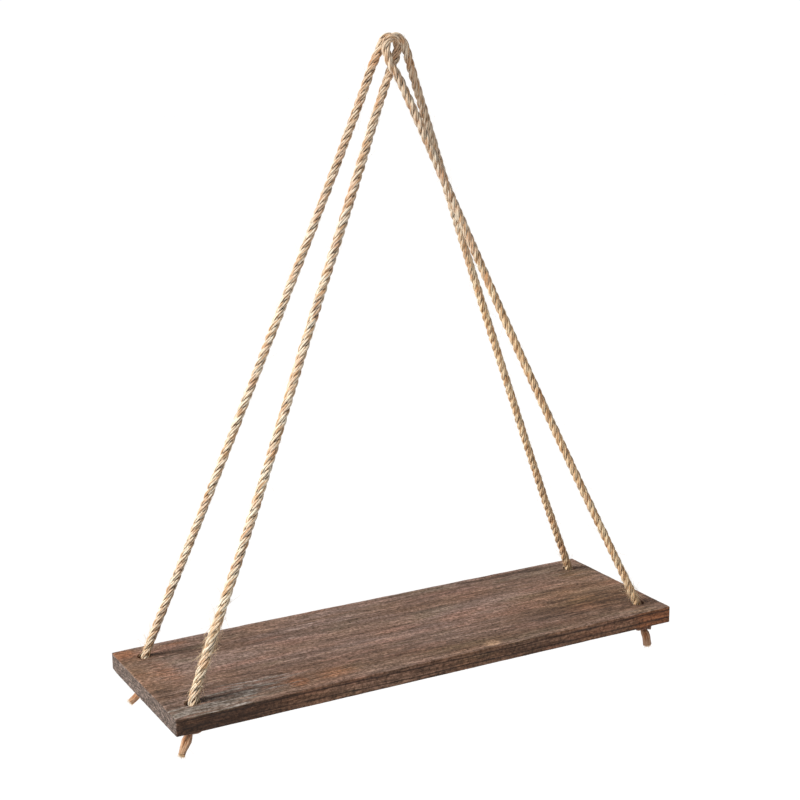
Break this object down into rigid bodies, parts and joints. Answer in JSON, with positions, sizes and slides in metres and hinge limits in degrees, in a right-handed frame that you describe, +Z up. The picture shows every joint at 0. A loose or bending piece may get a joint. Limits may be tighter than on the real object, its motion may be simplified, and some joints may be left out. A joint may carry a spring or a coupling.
{
  "type": "rope hanging shelf",
  "caption": "Hanging shelf: a dark stained wooden plank carried by twisted jute ropes that pass over a nail and are knotted under holes drilled near the plank's corners.",
  "frame": {"origin": "hang_point: the axis of the nail, where the ropes turn over it, above the middle of the plank", "axes": "+X along the plank to the right as seen from the front, +Y back towards the wall, +Z up"},
  "size_m": [0.453, 0.148, 0.5263],
  "materials": {
    "stained_wood": "dark walnut stain, matt, worn grey and reddish along some edges",
    "jute": "undyed three-strand jute rope, matt and hairy"
  },
  "bodies": {
    "root": {"board": "stained_wood", "rope_left": "jute", "rope_right": "jute"}
  },
  "joints": []
}
